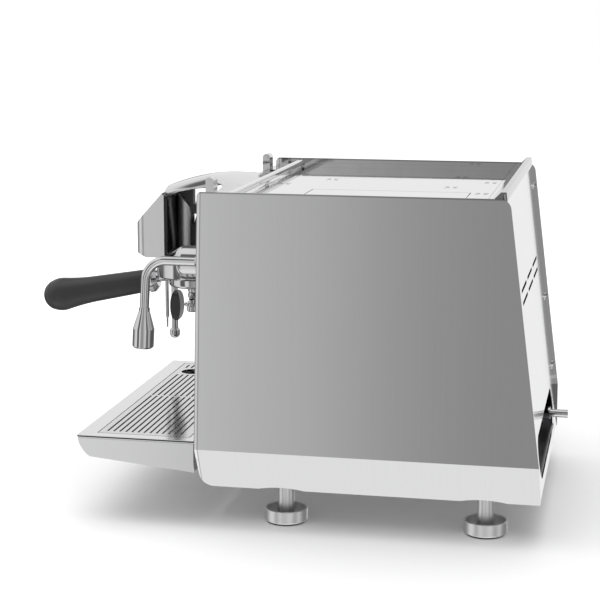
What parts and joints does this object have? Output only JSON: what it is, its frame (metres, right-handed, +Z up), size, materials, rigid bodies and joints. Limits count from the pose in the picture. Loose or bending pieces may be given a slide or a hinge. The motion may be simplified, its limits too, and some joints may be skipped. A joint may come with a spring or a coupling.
{
  "type": "espresso machine",
  "caption": "Polished steel espresso machine with a levered steam wand, hot water spout, bayonet portafilter, drip tray with slotted grate and a reservoir hatch in the cup tray.",
  "frame": {"origin": "on the floor plane under the feet, at the middle of the overall width and depth", "axes": "+X to the right of a user who faces the machine, +Y towards its rear, +Z up"},
  "size_m": [0.41, 0.6592, 0.4005],
  "materials": {
    "polished_panel": "mirror-polished stainless steel sheet",
    "sheet_steel": "plain steel sheet and bar",
    "chrome": "bright chrome",
    "black_plastic": "satin black moulded plastic",
    "black_metal": "black painted steel",
    "rubber": "black rubber",
    "brass": "bare brass",
    "copper_pipe": "drawn copper pipe",
    "clear_plastic": "clear moulded plastic",
    "white_plastic": "slippery white plastic",
    "jacket": "insulating foam jacket over the vessel",
    "motor_paint": "dark painted motor casing",
    "electronics_box": "grey plastic housing"
  },
  "bodies": {
    "casing": {"side_panel_right": "polished_panel", "side_panel_left": "polished_panel", "cup_tray": "polished_panel", "hood": "polished_panel", "rear_panel": "polished_panel", "rear_ridge": "polished_panel", "front_panel": "polished_panel", "group_cover": "polished_panel", "base_pan": "sheet_steel", "chassis_frame": "sheet_steel", "service_plate": "sheet_steel", "tray_runners": "sheet_steel", "lever_brackets": "sheet_steel", "boiler_supports": "sheet_steel", "shower_screen": "sheet_steel", "front_rail": "chrome", "tray_trims": "chrome", "water_inlet": "chrome", "group_ring": "chrome", "group_column": "chrome", "taps": "chrome", "casing_screws": "chrome", "joint_nuts": "chrome", "feet": "chrome", "power_inlet": "black_plastic", "group_core": "black_plastic", "switch_bezel": "black_plastic", "hood_bracket": "black_metal", "group_neck": "black_metal", "group_gasket": "rubber", "foot_pads": "rubber", "diffuser": "brass", "rotary_pump": "brass", "solenoid_block": "brass", "inner_pipes": "copper_pipe", "water_reservoir": "clear_plastic", "spout_liner": "white_plastic", "steam_boiler": "jacket", "brew_boiler": "jacket", "pump_motor": "motor_paint", "control_box": "electronics_box"},
    "portafilter": {"portafilter_body": "chrome", "filter_basket": "sheet_steel", "double_spout": "chrome", "handle_ferrule": "chrome", "handle_grip": "black_plastic", "handle_cap": "black_plastic"},
    "wand_swivel": {"wand_liner": "white_plastic"},
    "steam_wand": {"steam_wand": "chrome", "wand_grip": "black_plastic", "milk_probe": "chrome"},
    "hot_water_spout": {"water_spout": "chrome"},
    "steam_lever": {"steam_lever": "chrome"},
    "water_lever": {"water_lever": "chrome"},
    "drip_tray": {"drip_tray": "polished_panel"},
    "drip_grate": {"drip_grate": "polished_panel"},
    "hatch_lid": {"hatch_lid": "polished_panel"},
    "power_switch": {"power_switch": "black_plastic"},
    "brew_button_single": {"brew_button_single": "chrome"},
    "brew_button_double": {"brew_button_double": "chrome"}
  },
  "joints": [
    {"name": "portafilter_turn", "type": "hinge", "parent": "casing", "child": "portafilter", "pos_m": [0, -0.13079, 0.256], "axis": [0, 0, 1], "range_deg": [-42, 0]},
    {"name": "wand_swing", "type": "hinge", "parent": "casing", "child": "wand_swivel", "pos_m": [-0.158, -0.07929, 0.304], "axis": [0, 0, 1], "range_deg": [-25, 15]},
    {"name": "wand_tilt", "type": "hinge", "parent": "wand_swivel", "child": "steam_wand", "pos_m": [-0.158, -0.07929, 0.304], "axis": [1, 0, 0], "range_deg": [-20, 6]},
    {"name": "water_spout_swing", "type": "hinge", "parent": "casing", "child": "hot_water_spout", "pos_m": [0.158, -0.07929, 0.304], "axis": [0, 0, 1], "range_deg": [-15, 25]},
    {"name": "steam_lever_tilt", "type": "hinge", "parent": "casing", "child": "steam_lever", "pos_m": [-0.145, -0.05379, 0.345], "axis": [1, 0, 0], "range_deg": [-22, 0]},
    {"name": "water_lever_tilt", "type": "hinge", "parent": "casing", "child": "water_lever", "pos_m": [0.145, -0.05379, 0.345], "axis": [1, 0, 0], "range_deg": [-22, 0]},
    {"name": "drip_tray_draw", "type": "slide", "parent": "casing", "child": "drip_tray", "axis": [0, -1, 0], "range_m": [0, 0.09]},
    {"name": "drip_grate_lift", "type": "slide", "parent": "drip_tray", "child": "drip_grate", "axis": [0, 0, 1], "range_m": [0, 0.025]},
    {"name": "hatch_lid_lift", "type": "slide", "parent": "casing", "child": "hatch_lid", "axis": [0, 0, 1], "range_m": [0, 0.04]},
    {"name": "power_switch_rock", "type": "hinge", "parent": "casing", "child": "power_switch", "pos_m": [0.165, -0.06779, 0.14], "axis": [1, 0, 0], "range_deg": [-12, 0]},
    {"name": "single_button_press", "type": "slide", "parent": "casing", "child": "brew_button_single", "axis": [0, 1, 0], "range_m": [0, 0.0015], "stiffness_N_per_m": 500, "springref_m": -0.001},
    {"name": "double_button_press", "type": "slide", "parent": "casing", "child": "brew_button_double", "axis": [0, 1, 0], "range_m": [0, 0.0015], "stiffness_N_per_m": 500, "springref_m": -0.001}
  ]
}
